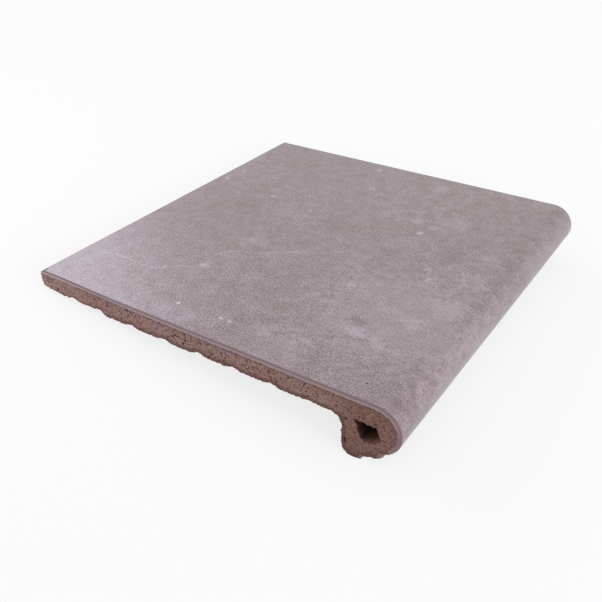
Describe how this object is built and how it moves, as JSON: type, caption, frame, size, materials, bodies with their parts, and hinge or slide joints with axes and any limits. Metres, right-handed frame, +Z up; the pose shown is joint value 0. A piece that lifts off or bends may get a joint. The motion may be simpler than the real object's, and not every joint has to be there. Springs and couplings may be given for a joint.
{
  "type": "stair tread tile",
  "caption": "Flat glazed stair tread tile with a round hollow nose, a drip lip and a heel below it, and keying grooves across the underside.",
  "frame": {"origin": "on the floor, below the middle of the tile as it lies at rest on its heel and the lower corner of its back edge, with its top sloping down 6.68 degrees to the back", "axes": "+X towards the nose, +Y along the nose from the near cut end to the far one, +Z up"},
  "size_m": [0.3112, 0.33, 0.0488],
  "materials": {
    "stoneware": "matte"
  },
  "bodies": {
    "root": {"tread_tile": "stoneware"}
  },
  "joints": []
}
